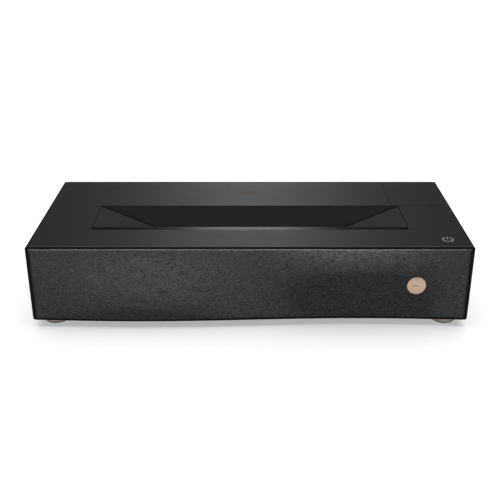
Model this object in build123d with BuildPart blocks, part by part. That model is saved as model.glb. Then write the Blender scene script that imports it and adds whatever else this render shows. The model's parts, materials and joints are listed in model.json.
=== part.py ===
from build123d import *
import math
import os

# Home projector: a long, low ultra short throw laser projector.
# Units are millimetres. +Z is up, the cloth front faces -Y, and the origin is on the floor
# under the middle of the case. Every block below makes one piece of the assembly.

os.makedirs("parts", exist_ok=True)

# Case
WIDTH = 610.0
DEPTH = 266.0
TOP_Z = 122.0
BASE_Z = 11.0
WAVE = 4.6                      # how far the lower front edge swings out on the left and in on the right
LEFT_SWELL = 2.6                # extra fullness of the cloth low on the left
RIGHT_SWELL = 4.9               # and high on the right
STAND_OUT = 6.1                 # the cloth's fullest point, in front of the side panels
HALF = WIDTH / 2
FRONT_Y = (STAND_OUT - DEPTH) / 2
COVER_T = 3.0
WALL = 2.8
FLOOR_T = 3.0
FLOOR_Z = BASE_Z + FLOOR_T
SEAM = 0.3                      # gap between neighbouring shells
RIM_W = 2.1                     # edge of the side panel seen beside the top cover
BORDER = 4.3                    # side panel edge seen beside the fabric
EDGE_R = 3.5
INNER_X = HALF - WALL
COVER_X = HALF - RIM_W - SEAM
UNDER_COVER = TOP_Z - COVER_T
COVER_FRONT = 4.4               # the cover starts behind the cloth and its frame

# Lens recess in the top cover, measured back from the front edge
STRIP_FRONT = 63.3
LIP = 73.5
WELL_BACK = 157.0
WELL_X = 226.0
WELL_DEPTH = 15.5
RAMP_SLOPE = 0.2976
WING_SLOPE = 0.1672
WELL_SKIN = 4.0
WING_ROUND = 3.4                # radius of the wings' lower edges, beside the ramp
VALLEY_BACK = WELL_BACK - WELL_DEPTH / RAMP_SLOPE
VALLEY_X = WELL_X - WELL_DEPTH / WING_SLOPE

# Corner cover over the media stick bay
BAY_LEFT = 216.0
BAY_DEPTH = 28.0
BAY_SEAM = 0.6
WELL_SEAM = 0.4

# Feet
FOOT_X = 277.5
FOOT_IN = 27.5
DIAL_R = 20.0
STUD_R = 4.0
RUN_FIT = 0.05                  # radial clearance of every running fit
SHAFT_R = 1.5                   # motor shafts

# Light path
AXIS_Z = 50.0
BARREL_FRONT = 92.0
ENGINE_FRONT = 190.0

# Fans and speakers
FAN_SIZE = 80.0
FAN_T = 25.0
FAN_X = 274.5
FAN_Z = 58.0
FAN_FRONT = 106.5
FAN_REAR = 187.0
SPEAKER_X = 188.0
SPEAKER_Z = 65.0


def back(distance):
    """Y of a point that lies this far behind the front edge."""
    return FRONT_Y + distance


def save(builder, name):
    """Label one finished piece and write it to its own file."""
    builder.part.label = name
    export_step(builder.part, f"parts/{name}.step")


def facing_front(distance, z=0.0, x=0.0):
    """Upright plane across the case, local x to the right and local y up, normal to the front."""
    return Plane(origin=(x, back(distance), z), x_dir=(1, 0, 0), z_dir=(0, -1, 0))


def facing_back(distance, z=0.0, x=0.0):
    """Upright plane across the case whose normal points to the rear."""
    return Plane(origin=(x, back(distance), z), x_dir=(1, 0, 0), z_dir=(0, 1, 0))


def facing_side(x, distance=0.0, z=0.0, outward=1):
    """Upright plane along the case, local x to the rear on the right-hand side."""
    return Plane(origin=(x, back(distance), z), x_dir=(0, outward, 0), z_dir=(outward, 0, 0))


def block(x0, x1, front, rear, z0, z1, mode=Mode.ADD):
    """Box between two X values, two distances behind the front edge and two heights."""
    with Locations(((x0 + x1) / 2, back((front + rear) / 2), (z0 + z1) / 2)):
        Box(x1 - x0, rear - front, z1 - z0, mode=mode)


def wave(u, w):
    """How far the front stands out at u (-1 left to 1 right) and w (0 top to 1 bottom)."""
    swing = -math.sin(math.pi * u)
    lower_edge = WAVE * swing * w * w * (3 - 2 * w)
    # each swell is scaled to reach its full height at two thirds or one third of the way down
    if swing > 0:
        swell = LEFT_SWELL * w * w * (1 - w)
    else:
        swell = RIGHT_SWELL * w * (1 - w) ** 2
    return lower_edge + 27 / 4 * swell * swing * swing


# ---------------------------------------------------------------- outer case

def sloping_plate(outline, surface, thickness):
    """Plate with this plan outline whose upper face lies in a sloping plane."""
    with BuildPart() as plate:
        with BuildSketch(Plane.XY.offset(TOP_Z - 60)):
            with BuildLine():
                Polyline(*[(x, back(t)) for x, t in outline], close=True)
            make_face()
        extrude(amount=60)
        split(bisect_by=surface, keep=Keep.BOTTOM)
        split(bisect_by=surface.offset(-thickness), keep=Keep.TOP)
    return plate.part


def front_skin(near, far, z_low, z_high, half_width):
    """Upright skin that follows the wave, between two depths behind the front surface."""
    levels = 9
    steps = 16
    with BuildPart() as skin:
        for level in range(levels):
            w = 1 - level / (levels - 1)
            z = z_low + (z_high - z_low) * (1 - w)
            us = [-1 + 2 * i / steps for i in range(steps + 1)]
            with BuildSketch(Plane.XY.offset(z)):
                with BuildLine():
                    outer = Spline(*[(u * half_width, back(near - wave(u, w))) for u in us])
                    inner = Spline(*[(u * half_width, back(far - wave(u, w))) for u in us])
                    Line(outer @ 0, inner @ 0)
                    Line(outer @ 1, inner @ 1)
                make_face()
        loft()
    return skin.part


TRAY_X = HALF - 7.3
TRAY_FRONT = 9.3
SCREW_X = 293.5
SCREW_TS = (52.0, 96.0, 160.0, 214.0)
FOOT_TS = (FOOT_IN, DEPTH - FOOT_IN)
BOSS_TOP = 24.0
NUT_ACROSS = 13.0
NUT_LOW = FLOOR_Z
foot_spots = [(sx * FOOT_X, back(t)) for sx in (-1, 1) for t in FOOT_TS]
REAR_SCREW_X = 70.0
REAR_SCREW_T = 257.0
BOSS_R = 11.0
HEAD_R = 3.1                    # pocket for a screw head
HEAD_DEPTH = 2.0
THREAD_HOLE_R = 1.5
POST_R = 3.5
POWER_BOARD_Z = 24.0
POWER_POSTS = [(x, back(t)) for x in (-248, -108) for t in (178, 250)]
MAIN_BOARD_Z = 88.0
MAIN_POSTS = [(x, back(t)) for x in (157, 200) for t in (176, 253)]
INTAKE_XS = (-178, 95)
INTAKE_T = 205.0
screw_spots = [(sx * SCREW_X, back(t)) for sx in (-1, 1) for t in SCREW_TS]
screw_spots += [(sx * REAR_SCREW_X, back(REAR_SCREW_T)) for sx in (-1, 1)]

with BuildPart() as bottom_tray:
    block(-TRAY_X, TRAY_X, TRAY_FRONT, DEPTH - WALL - SEAM - 0.2, BASE_Z, FLOOR_Z)
    with BuildSketch(Plane.XY.offset(FLOOR_Z)):
        with Locations(*foot_spots):
            Circle(BOSS_R)
    extrude(amount=BOSS_TOP - FLOOR_Z)
    with BuildSketch(Plane.XY.offset(NUT_LOW)):
        with Locations(*foot_spots):
            RegularPolygon(NUT_ACROSS / 2, 6, major_radius=False)
    extrude(amount=BOSS_TOP - NUT_LOW, mode=Mode.SUBTRACT)
    with BuildSketch(Plane.XY.offset(BASE_Z)):
        with Locations(*foot_spots):
            Circle(STUD_R + 0.6)
        with Locations(*screw_spots):
            Circle(THREAD_HOLE_R + 0.1)
    extrude(amount=FLOOR_T, mode=Mode.SUBTRACT)
    with BuildSketch(Plane.XY.offset(BASE_Z)):
        with Locations(*screw_spots):
            Circle(HEAD_R)
    extrude(amount=HEAD_DEPTH, mode=Mode.SUBTRACT)
    # air slots under the power board and the light engine
    with BuildSketch(Plane.XY.offset(BASE_Z)):
        for centre in INTAKE_XS:
            with Locations((centre, back(INTAKE_T))):
                with GridLocations(7.0, 46.0, 14, 2):
                    SlotOverall(38, 3.2, rotation=90)
    extrude(amount=FLOOR_T, mode=Mode.SUBTRACT)
    # posts that carry the power board
    with BuildSketch(Plane.XY.offset(FLOOR_Z)):
        with Locations(*POWER_POSTS):
            Circle(POST_R)
    extrude(amount=POWER_BOARD_Z - FLOOR_Z)
    # posts that carry the main board
    with BuildSketch(Plane.XY.offset(FLOOR_Z)):
        with Locations(*MAIN_POSTS):
            Circle(POST_R)
    extrude(amount=MAIN_BOARD_Z - FLOOR_Z)
save(bottom_tray, "bottom_tray")


RETURN_W = 7.0                  # how far the wall turns in under the tray's edge
RIM_DROP = 0.4                  # the rim lies this far below the cover
FLANGE_X = 289.0
FLANGE_T = 3.0
LOUVRES = 12
LOUVRE_PITCH = 6.4
LOUVRE_L = 62.0
LOUVRE_W = 3.2
THROUGH = 6.0                   # depth of cuts that go right through a wall
BUTTON_T = 34.0
BUTTON_Z = 92.0
BUTTON_R = 5.8
BUTTON_FLANGE_R = 7.6


def side_panel(with_button):
    """Right-hand wall of the case: rim, louvres, bottom return and screw flange."""
    rim_low = UNDER_COVER - SEAM
    with BuildPart() as panel:
        with BuildSketch(facing_front(DEPTH)):
            with BuildLine():
                Polyline(
                    (HALF, BASE_Z), (HALF, TOP_Z - RIM_DROP), (HALF - RIM_W, TOP_Z - RIM_DROP),
                    (HALF - RIM_W, rim_low), (INNER_X, rim_low), (INNER_X, FLOOR_Z),
                    (HALF - RETURN_W, FLOOR_Z), (HALF - RETURN_W, BASE_Z), close=True,
                )
            make_face()
        extrude(amount=DEPTH)
        block(HALF - BORDER, HALF - 1, 0, 10, BASE_Z, rim_low)
        block(HALF - BORDER, HALF - 1, 0, COVER_FRONT - SEAM, rim_low - 1, TOP_Z - RIM_DROP)
        block(FLANGE_X, INNER_X + 1, 12, 256, FLOOR_Z, FLOOR_Z + FLANGE_T)
        outer = panel.edges().filter_by(Axis.Y).filter_by(lambda e: e.center().X > HALF - 0.01)
        fillet(outer.sort_by(Axis.Z)[0], EDGE_R)
        fillet(panel.edges().filter_by(Axis.Y).filter_by(
            lambda e: e.center().X > HALF - 0.01 and e.center().Z > TOP_Z - 1), 0.8)
        # the bottom return stops short of the grille frame and the rear panel
        for front, rear in ((-1, 9.6), (DEPTH - 3.3, DEPTH + 1)):
            block(HALF - RETURN_W - 1, HALF - BORDER, front, rear, BASE_Z - 1, FLOOR_Z,
                  mode=Mode.SUBTRACT)
        block(HALF - BORDER - 0.1, INNER_X, DEPTH - 3.3, DEPTH + 1, BASE_Z - 1, FLOOR_Z,
              mode=Mode.SUBTRACT)
        with BuildSketch(facing_side(HALF)):
            for centre in (FAN_FRONT, FAN_REAR):
                with Locations((centre, FAN_Z)):
                    with GridLocations(LOUVRE_PITCH, 1, LOUVRES, 1):
                        SlotOverall(LOUVRE_L, LOUVRE_W, rotation=90)
        extrude(amount=-THROUGH, mode=Mode.SUBTRACT)
        with BuildSketch(Plane.XY.offset(FLOOR_Z)):
            with Locations(*[(SCREW_X, back(t)) for t in SCREW_TS]):
                Circle(THREAD_HOLE_R)
        extrude(amount=FLANGE_T, mode=Mode.SUBTRACT)
        if with_button:
            with BuildSketch(facing_side(HALF)):
                with Locations((BUTTON_T, BUTTON_Z)):
                    Circle(BUTTON_R + 0.4)
            extrude(amount=-THROUGH, mode=Mode.SUBTRACT)
    return panel


side_panel_right = side_panel(with_button=True)
save(side_panel_right, "side_panel_right")

plain_panel = side_panel(with_button=False)

with BuildPart() as side_panel_left:
    mirror(plain_panel.part, about=Plane.YZ)
save(side_panel_left, "side_panel_left")

REAR_IN = DEPTH - 3.0
INLET_X = -228.0
INLET_Z = 46.0
INLET_W = 27.0
INLET_H = 19.5
BOARD_T = 1.6
# centre x, width and height of two video sockets, a data socket and two sound sockets
SOCKETS = ((80.0, 15.0, 5.6), (103.0, 15.0, 5.6), (128.0, 13.2, 5.8), (150.0, 9.6, 9.6),
           (168.0, 7.0, 7.0))
REAR_X = INNER_X - SEAM
REAR_VENT_PITCH = 7.0
REAR_VENTS = (((-90, -70), 26, 40), ((75, -46), 34, 44))    # middle, slots, slot length

with BuildPart() as rear_panel:
    block(-REAR_X, REAR_X, REAR_IN, DEPTH, BASE_Z, TOP_Z - RIM_DROP)
    for x in (-REAR_SCREW_X, REAR_SCREW_X):
        block(x - 10, x + 10, REAR_IN - 10, REAR_IN, FLOOR_Z, FLOOR_Z + FLANGE_T)
        with BuildSketch(Plane.XY.offset(FLOOR_Z)):
            with Locations((x, back(REAR_SCREW_T))):
                Circle(THREAD_HOLE_R)
        extrude(amount=FLANGE_T, mode=Mode.SUBTRACT)
    block(INLET_X - INLET_W / 2 - 0.3, INLET_X + INLET_W / 2 + 0.3, REAR_IN - 1, DEPTH + 1,
          INLET_Z - INLET_H / 2 - 0.3, INLET_Z + INLET_H / 2 + 0.3, mode=Mode.SUBTRACT)
    for x, width, height in SOCKETS:
        block(x - width / 2 - 0.4, x + width / 2 + 0.4, REAR_IN - 1, DEPTH + 1,
              MAIN_BOARD_Z + BOARD_T - 0.1, MAIN_BOARD_Z + BOARD_T + height + 0.4, mode=Mode.SUBTRACT)
    with BuildSketch(facing_back(DEPTH)):
        for place, count, length in REAR_VENTS:
            with Locations(place):
                with GridLocations(REAR_VENT_PITCH, 1, count, 1):
                    SlotOverall(length, 3.0, rotation=90)
    extrude(amount=-THROUGH, mode=Mode.SUBTRACT)
save(rear_panel, "rear_panel")

MARK_T = 0.5
REAR_MARK_T = 214.0
TOUCH_X = 274.0
TOUCH_T = 28.6
TOUCH_R = 8.0
TOUCH_LINE = 2.1
COVER_BACK = REAR_IN - SEAM


def rear_mark_outline():
    """Plain framed bar, a generic ornament."""
    RectangleRounded(24, 17, 3.5)
    RectangleRounded(20.4, 13.4, 2.2, mode=Mode.SUBTRACT)
    RectangleRounded(15, 5, 2.0)


def touch_mark_outline():
    """Standby symbol: an open ring with a bar in its gap."""
    Circle(TOUCH_R)
    Circle(TOUCH_R - TOUCH_LINE, mode=Mode.SUBTRACT)
    with Locations((0, TOUCH_R)):
        Rectangle(3 * TOUCH_LINE, TOUCH_R, mode=Mode.SUBTRACT)
    with Locations((0, 0.6 * TOUCH_R)):
        SlotOverall(0.95 * TOUCH_R, TOUCH_LINE, rotation=90)


with BuildPart() as top_cover:
    block(-COVER_X, COVER_X, COVER_FRONT, COVER_BACK, UNDER_COVER, TOP_Z)
    # long opening for the sensor strip and the lens recess
    block(-WELL_X - WELL_SEAM, WELL_X + WELL_SEAM, STRIP_FRONT - SEAM, WELL_BACK + SEAM,
          UNDER_COVER - 1, TOP_Z + 1, mode=Mode.SUBTRACT)
    # open rear right corner
    block(BAY_LEFT - BAY_SEAM, COVER_X + 1, WELL_BACK + SEAM, COVER_BACK + 1,
          UNDER_COVER - 1, TOP_Z + 1, mode=Mode.SUBTRACT)
    chamfer(top_cover.edges().filter_by(Axis.X).group_by(Axis.Y)[0].sort_by(Axis.Z)[-1], 0.6)
    # skirts that locate the cover between the side panels
    block(-INNER_X + 1.5, -INNER_X + 3.5, 14, 256, UNDER_COVER - 6, UNDER_COVER)
    block(INNER_X - 3.5, INNER_X - 1.5, 14, 150, UNDER_COVER - 6, UNDER_COVER)
    block(-298, 208, 258, 260, UNDER_COVER - 6, UNDER_COVER)
    with BuildSketch(Plane.XY.offset(TOP_Z - MARK_T)):
        with Locations((0, back(REAR_MARK_T))):
            rear_mark_outline()
        with Locations((TOUCH_X, back(TOUCH_T))):
            touch_mark_outline()
    extrude(amount=MARK_T + 0.1, mode=Mode.SUBTRACT)
save(top_cover, "top_cover")

with BuildPart() as rear_mark:
    with BuildSketch(Plane.XY.offset(TOP_Z - MARK_T)):
        with Locations((0, back(REAR_MARK_T))):
            rear_mark_outline()
    extrude(amount=MARK_T)
save(rear_mark, "rear_mark")

with BuildPart() as touch_mark:
    with BuildSketch(Plane.XY.offset(TOP_Z - MARK_T)):
        with Locations((TOUCH_X, back(TOUCH_T))):
            touch_mark_outline()
    extrude(amount=MARK_T)
save(touch_mark, "touch_mark")

# ---------------------------------------------------------------- lens recess

ramp_surface = Plane(
    origin=(0, back(WELL_BACK), TOP_Z), x_dir=(1, 0, 0), z_dir=(0, -RAMP_SLOPE, 1))
wing_surface = Plane(
    origin=(WELL_X, 0, TOP_Z), x_dir=(0, 1, 0), z_dir=(-WING_SLOPE, 0, 1))
FLOOR_TOP = TOP_Z - WELL_DEPTH
TUB_FLOOR_T = 3.0
WINDOW_X = 126.8
WINDOW_FRONT = 77.2
WINDOW_REAR = 103.4
GLASS_T = 1.9
BACKING_T = 2.0
RAMP_T = WELL_SKIN + BACKING_T
APERTURE_X = 123.0
APERTURE_FRONT = 79.8
APERTURE_REAR = 101.2

ramp_outline = [(-WELL_X, WELL_BACK), (WELL_X, WELL_BACK),
                (VALLEY_X, VALLEY_BACK), (-VALLEY_X, VALLEY_BACK)]
wing_outline = [(WELL_X - 0.1, LIP + 0.2), (WELL_X - 0.1, WELL_BACK - 0.5),
                (VALLEY_X + 0.3, VALLEY_BACK - 0.3), (VALLEY_X + 0.3, LIP + 0.2)]
backing_outline = [(WELL_X, LIP), (WELL_X, WELL_BACK),
                   (VALLEY_X, VALLEY_BACK), (VALLEY_X, LIP)]
ramp_plate = sloping_plate(ramp_outline, ramp_surface, RAMP_T)
wing_backing = sloping_plate(backing_outline, wing_surface.offset(-WELL_SKIN), BACKING_T)

with BuildPart() as recess_tub:
    add(ramp_plate)
    add(wing_backing)
    mirror(wing_backing, about=Plane.YZ)
    block(-VALLEY_X, VALLEY_X, LIP - 0.1, VALLEY_BACK, FLOOR_TOP - TUB_FLOOR_T, FLOOR_TOP)
    # upright wall under the lip
    with BuildSketch(facing_front(LIP - 0.1)):
        with BuildLine():
            Polyline((-WELL_X, UNDER_COVER), (WELL_X, UNDER_COVER), (WELL_X, UNDER_COVER - 3),
                     (VALLEY_X, FLOOR_TOP - TUB_FLOOR_T), (-VALLEY_X, FLOOR_TOP - TUB_FLOOR_T),
                     (-WELL_X, UNDER_COVER - 3), close=True)
        make_face()
    extrude(amount=2.0)
    # ledges that carry the sensor strip and hang the tub from the cover
    block(-WELL_X - 4, WELL_X + 4, STRIP_FRONT - 6, LIP - 0.1, UNDER_COVER - 2, UNDER_COVER)
    block(-WELL_X + 14, WELL_X - 14, WELL_BACK - 4, WELL_BACK + 8, UNDER_COVER - 2, UNDER_COVER)
    # window seat and aperture
    block(-WINDOW_X - 0.2, WINDOW_X + 0.2, WINDOW_FRONT - 0.2, WINDOW_REAR + 0.2,
          FLOOR_TOP - GLASS_T - 0.1, FLOOR_TOP + 0.1, mode=Mode.SUBTRACT)
    block(-APERTURE_X, APERTURE_X, APERTURE_FRONT, APERTURE_REAR,
          FLOOR_TOP - TUB_FLOOR_T - 1, FLOOR_TOP, mode=Mode.SUBTRACT)
save(recess_tub, "recess_tub")

wing_plate = sloping_plate(wing_outline, wing_surface, WELL_SKIN)

with BuildPart() as recess_wing_right:
    add(wing_plate)
    slanted = recess_wing_right.edges().filter_by(
        lambda e: abs((e % 0.5).X) > 0.3 and abs((e % 0.5).Y) > 0.3)
    fillet(slanted.sort_by(Axis.Z)[-1], WING_ROUND)
    chamfer(recess_wing_right.edges().filter_by(Axis.Y).sort_by(Axis.Z)[-1], 0.5)
save(recess_wing_right, "recess_wing_right")

with BuildPart() as recess_wing_left:
    mirror(recess_wing_right.part, about=Plane.YZ)
save(recess_wing_left, "recess_wing_left")

with BuildPart() as sensor_strip:
    block(-WELL_X, WELL_X, STRIP_FRONT, LIP - 0.1, UNDER_COVER, TOP_Z - 0.1)
    fillet(sensor_strip.edges().filter_by(Axis.Z).group_by(Axis.Y)[0], 4.0)
save(sensor_strip, "sensor_strip")

with BuildPart() as projection_window:
    block(-WINDOW_X, WINDOW_X, WINDOW_FRONT, WINDOW_REAR,
          FLOOR_TOP - GLASS_T - 0.1, FLOOR_TOP - 0.1)
    chamfer(projection_window.faces().sort_by(Axis.Z)[-1].edges(), 0.3)
save(projection_window, "projection_window")

with BuildPart() as window_gasket:
    block(-APERTURE_X - 5, APERTURE_X + 5, APERTURE_FRONT - 4, APERTURE_REAR + 3.2,
          FLOOR_TOP - TUB_FLOOR_T - 2, FLOOR_TOP - TUB_FLOOR_T)
    block(-APERTURE_X, APERTURE_X, APERTURE_FRONT, APERTURE_REAR,
          FLOOR_TOP - TUB_FLOOR_T - 3, FLOOR_TOP, mode=Mode.SUBTRACT)
save(window_gasket, "window_gasket")

# ---------------------------------------------------------------- fabric front

FABRIC_X = HALF - BORDER - 0.3
FABRIC_NEAR = 0.3
FABRIC_T = 1.2
LIP_H = 2.2
FABRIC_LOW = BASE_Z + LIP_H + 0.1
FABRIC_HIGH = TOP_Z - 1.2
FRAME_NEAR = FABRIC_NEAR + FABRIC_T + 0.1
FRAME_T = 2.4
BADGE_X = 230.0
BADGE_Z = TOP_Z - 57.0
BADGE_R = 13.5
BADGE_STEM_R = 8.0
BADGE_STEM = 6.8
BADGE_SEAT = 2.6

BADGE_BACK = 12.0
BADGE_REACH = 24.0
BADGE_T = 4.0
BADGE_DOME = 1.2
BADGE_RIM = 0.7
badge_plane = facing_front(BADGE_BACK, BADGE_Z, BADGE_X)

cloth_skin = front_skin(FABRIC_NEAR, FABRIC_NEAR + FABRIC_T, FABRIC_LOW, FABRIC_HIGH, FABRIC_X)
frame_skin = front_skin(FRAME_NEAR, FRAME_NEAR + FRAME_T, FABRIC_LOW, FABRIC_HIGH, FABRIC_X)

with BuildPart() as grille_fabric:
    add(cloth_skin)
    with BuildSketch(badge_plane):
        Circle(BADGE_R + 0.2)
    extrude(amount=BADGE_REACH, mode=Mode.SUBTRACT)
save(grille_fabric, "grille_fabric")

with BuildPart() as grille_frame:
    add(frame_skin)
    # sound windows with ribs between them
    with BuildSketch(facing_front(20)):
        with Locations((0, SPEAKER_Z)):
            with GridLocations(33.0, 33.0, 17, 3):
                RectangleRounded(28, 28, 3)
        with Locations((BADGE_X, BADGE_Z)):
            Circle(BADGE_R + 4, mode=Mode.SUBTRACT)
    extrude(amount=40, mode=Mode.SUBTRACT)
    # bottom lip whose front edge is the wave
    with BuildSketch(Plane.XY.offset(BASE_Z)):
        with BuildLine():
            edge = Spline(*[(i / 8 * FABRIC_X, back(-wave(i / 8, 1))) for i in range(-8, 9)])
            Polyline(edge @ 0, (-FABRIC_X, back(TRAY_FRONT - 0.3)),
                     (FABRIC_X, back(TRAY_FRONT - 0.3)), edge @ 1)
        make_face()
    extrude(amount=LIP_H + 0.1)
    with BuildSketch(badge_plane):
        Circle(BADGE_STEM_R + 0.05)
    extrude(amount=BADGE_REACH, mode=Mode.SUBTRACT)
    with BuildSketch(facing_front(BADGE_SEAT, BADGE_Z, BADGE_X)):
        Circle(BADGE_R + 0.2)
    extrude(amount=BADGE_REACH, mode=Mode.SUBTRACT)
save(grille_frame, "grille_frame")

badge_axis = Axis((BADGE_X, 0, BADGE_Z), (0, 1, 0))
badge_front = BADGE_SEAT - BADGE_T
dome_edge = BADGE_R - BADGE_RIM
dome_radius = (dome_edge**2 + BADGE_DOME**2) / (2 * BADGE_DOME)
half_way = dome_radius - math.sqrt(dome_radius**2 - (dome_edge / 2) ** 2)

with BuildPart() as grille_badge:
    with BuildSketch(Plane(origin=(BADGE_X, FRONT_Y, BADGE_Z), x_dir=(1, 0, 0), z_dir=(0, 0, 1))):
        with BuildLine():
            ThreePointArc((0, badge_front), (dome_edge / 2, badge_front + half_way),
                          (dome_edge, badge_front + BADGE_DOME))
            Polyline((dome_edge, badge_front + BADGE_DOME),
                     (BADGE_R, badge_front + BADGE_DOME + BADGE_RIM), (BADGE_R, BADGE_SEAT),
                     (BADGE_STEM_R, BADGE_SEAT), (BADGE_STEM_R, BADGE_SEAT + BADGE_STEM),
                     (0, BADGE_SEAT + BADGE_STEM), (0, badge_front))
        make_face()
    revolve(axis=badge_axis)
    # a plain engraved dash and dot
    with BuildSketch(facing_front(badge_front - 1, BADGE_Z, BADGE_X)):
        with Locations((-1.6, 0.6)):
            SlotOverall(7.0, 1.6)
        with Locations((-7.4, 0.6)):
            Circle(1.0)
    extrude(amount=-1.8, mode=Mode.SUBTRACT)
save(grille_badge, "grille_badge")

# ---------------------------------------------------------------- feet

PAD_R = 17.5
PAD_TOP = 2.4
DIAL_LOW = PAD_TOP + 0.3
DIAL_HIGH = BASE_Z - 0.3
SPIGOT_R = 6.0
SPIGOT_TOP = 6.0
STUD_TOP = 34.0

for side_name, sx in (("left", -1), ("right", 1)):
    for end_name, t in (("front", FOOT_TS[0]), ("rear", FOOT_TS[1])):
        spot = Plane(origin=(sx * FOOT_X, back(t), 0))
        with BuildPart(spot) as foot_pad:
            Cylinder(PAD_R, PAD_TOP, align=(Align.CENTER, Align.CENTER, Align.MIN))
            fillet(foot_pad.faces().sort_by(Axis.Z)[0].edges(), 0.6)
            with BuildSketch(spot.offset(PAD_TOP)):
                Circle(SPIGOT_R)
            extrude(amount=SPIGOT_TOP - PAD_TOP)
        save(foot_pad, f"foot_pad_{end_name}_{side_name}")
        with BuildPart(spot) as foot_dial:
            with BuildSketch(spot.offset(DIAL_LOW)):
                Circle(DIAL_R)
            extrude(amount=DIAL_HIGH - DIAL_LOW)
            chamfer(foot_dial.edges().filter_by(GeomType.CIRCLE), 0.7)
            with BuildSketch(spot.offset(DIAL_LOW)):
                Circle(SPIGOT_R + RUN_FIT)
            extrude(amount=SPIGOT_TOP - DIAL_LOW + 0.3, mode=Mode.SUBTRACT)
            with BuildSketch(spot.offset(DIAL_HIGH)):
                Circle(STUD_R)
            extrude(amount=STUD_TOP - DIAL_HIGH)
            chamfer(foot_dial.faces().sort_by(Axis.Z)[-1].edges(), 0.8)
        save(foot_dial, f"foot_dial_{end_name}_{side_name}")

with BuildPart() as foot_nuts:
    with BuildSketch(Plane.XY.offset(NUT_LOW)):
        with Locations(*foot_spots):
            RegularPolygon(NUT_ACROSS / 2, 6, major_radius=False)
            Circle(STUD_R + RUN_FIT, mode=Mode.SUBTRACT)
    extrude(amount=BOSS_TOP - NUT_LOW)
save(foot_nuts, "foot_nuts")

with BuildPart() as case_screws:
    with BuildSketch(Plane.XY.offset(BASE_Z)):
        with Locations(*screw_spots):
            Circle(2.9)
            RegularPolygon(1.0, 6, mode=Mode.SUBTRACT)
    extrude(amount=1.9)
    with BuildSketch(Plane.XY.offset(BASE_Z + 1.2)):
        with Locations(*screw_spots):
            Circle(1.45)
    extrude(amount=8.0)
save(case_screws, "case_screws")

# ---------------------------------------------------------------- media stick bay

BAY_FRONT = WELL_BACK + SEAM + BAY_SEAM
BAY_LOW = UNDER_COVER - BAY_DEPTH
TRAY_WALL = 2.0
bay = (BAY_LEFT + 0.6, INNER_X - 0.4, BAY_FRONT, COVER_BACK - 0.2)

with BuildPart() as dongle_tray:
    block(*bay, BAY_LOW, UNDER_COVER - 0.3)
    block(bay[0] + TRAY_WALL, bay[1] - TRAY_WALL, bay[2] + TRAY_WALL, bay[3] - TRAY_WALL,
          BAY_LOW + TRAY_WALL, UNDER_COVER + 1, mode=Mode.SUBTRACT)
    fillet(dongle_tray.edges().filter_by(Axis.Z), 1.0)
save(dongle_tray, "dongle_tray")

with BuildPart() as dongle_cover:
    block(BAY_LEFT, COVER_X, BAY_FRONT, COVER_BACK, UNDER_COVER, TOP_Z)
    fillet(dongle_cover.edges().filter_by(Axis.Z), 0.5)
    inset = TRAY_WALL + 0.6
    lip_box = (bay[0] + inset, bay[1] - inset, bay[2] + inset, bay[3] - inset)
    block(*lip_box, UNDER_COVER - 4, UNDER_COVER)
    block(lip_box[0] + 1.6, lip_box[1] - 1.6, lip_box[2] + 1.6, lip_box[3] - 1.6,
          UNDER_COVER - 5, UNDER_COVER, mode=Mode.SUBTRACT)
save(dongle_cover, "dongle_cover")

with BuildPart() as dongle_plug:
    block(bay[0] + TRAY_WALL, bay[0] + TRAY_WALL + 12, 200, 215, BAY_LOW + 3, BAY_LOW + 9)
    block(bay[0] + TRAY_WALL + 12, bay[0] + TRAY_WALL + 16, 200.6, 214.4,
          BAY_LOW + 3.9, BAY_LOW + 8.1)
save(dongle_plug, "dongle_plug")

# ---------------------------------------------------------------- power button

BUTTON_BACK = INNER_X - 1.7

with BuildPart() as power_button:
    with BuildSketch(facing_side(BUTTON_BACK, BUTTON_T, BUTTON_Z)):
        Circle(BUTTON_FLANGE_R)
    extrude(amount=1.4)
    with BuildSketch(facing_side(BUTTON_BACK, BUTTON_T, BUTTON_Z)):
        Circle(BUTTON_R)
    extrude(amount=HALF - 0.1 - BUTTON_BACK)
    fillet(power_button.faces().sort_by(Axis.X)[-1].edges(), 0.5)
save(power_button, "power_button")

with BuildPart() as power_switch:
    block(291.4, 293, BUTTON_T - 16, BUTTON_T + 16, BUTTON_Z - 9, BUTTON_Z + 9)
    block(293, 297, BUTTON_T - 3, BUTTON_T + 3, BUTTON_Z - 3, BUTTON_Z + 3)
    with BuildSketch(facing_side(297, BUTTON_T, BUTTON_Z)):
        Circle(1.7)
    extrude(amount=BUTTON_BACK - 1.4 - 297)
    with BuildSketch(facing_side(293, BUTTON_T, BUTTON_Z)):
        with Locations((-12.5, 0), (12.5, 0)):
            Circle(2.0)
    extrude(amount=INNER_X - 293)
save(power_switch, "power_switch")

# ---------------------------------------------------------------- light path

MIRROR_T = 38.0
MIRROR_Z = 66.0
MIRROR_R = 320.0
MIRROR_W = 150.0
MIRROR_H = 60.0
MIRROR_BLANK = 14.0
MIRROR_SAG = 9.0
mirror_plane = Plane(origin=(0, back(MIRROR_T), MIRROR_Z), x_dir=(1, 0, 0), z_dir=(0, 1, 0.25))

with BuildPart(mirror_plane) as curved_mirror:
    Box(MIRROR_W, MIRROR_H, MIRROR_BLANK)
    with Locations((0, 0, MIRROR_BLANK / 2 + MIRROR_R - MIRROR_SAG)):
        Sphere(MIRROR_R, mode=Mode.SUBTRACT)
save(curved_mirror, "curved_mirror")

BRACKET_X = 90.0
BRACKET_FRONT = 12.0
BRACKET_REAR = 62.0
BRACKET_WALL = 3.0
STUD_X = 60.0
STUD_Y = 22.0

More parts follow.
